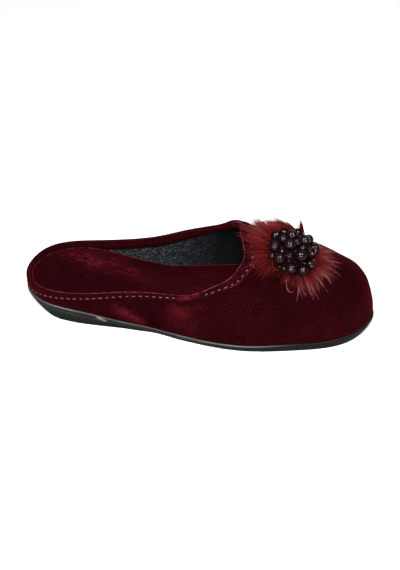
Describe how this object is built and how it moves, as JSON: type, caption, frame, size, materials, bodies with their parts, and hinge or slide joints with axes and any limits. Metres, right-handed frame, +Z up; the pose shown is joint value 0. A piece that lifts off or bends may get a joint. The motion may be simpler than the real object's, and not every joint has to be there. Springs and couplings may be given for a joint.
{
  "type": "wedge house slipper",
  "caption": "Backless velvet house slipper on a low rubber wedge, with a bound collar, a round toe, a padded footbed and a fur puff with a bunch of glass beads on the vamp.",
  "frame": {"origin": "on the floor under the middle of the slipper's box", "axes": "+X toward the toe along the slipper's length, +Y toward the inner side of the foot, +Z up"},
  "size_m": [0.2497, 0.0916, 0.0737],
  "materials": {
    "sole_rubber": "matt moulded black rubber",
    "insole_velvet": "dark burgundy velvet with flattened nap",
    "upper_velvet": "dark burgundy velvet",
    "binding_velvet": "burgundy velvet strip with pale stitches",
    "fur": "dyed red-brown fur with paler tips",
    "bead_glass": "glossy plum-black glass"
  },
  "bodies": {
    "root": {"outsole": "sole_rubber", "insole": "insole_velvet", "upper": "upper_velvet", "collar_binding": "binding_velvet", "fur_puff": "fur", "bead_large_01": "bead_glass", "bead_large_02": "bead_glass", "bead_large_03": "bead_glass", "bead_large_04": "bead_glass", "bead_large_05": "bead_glass", "bead_large_06": "bead_glass", "bead_large_07": "bead_glass", "bead_large_08": "bead_glass", "bead_large_09": "bead_glass", "bead_large_10": "bead_glass", "bead_large_11": "bead_glass", "bead_large_12": "bead_glass", "bead_large_13": "bead_glass", "bead_large_14": "bead_glass", "bead_large_15": "bead_glass", "bead_small_01": "bead_glass", "bead_small_02": "bead_glass", "bead_small_03": "bead_glass", "bead_small_04": "bead_glass", "bead_small_05": "bead_glass", "bead_small_06": "bead_glass", "bead_small_07": "bead_glass", "bead_small_08": "bead_glass"}
  },
  "joints": []
}
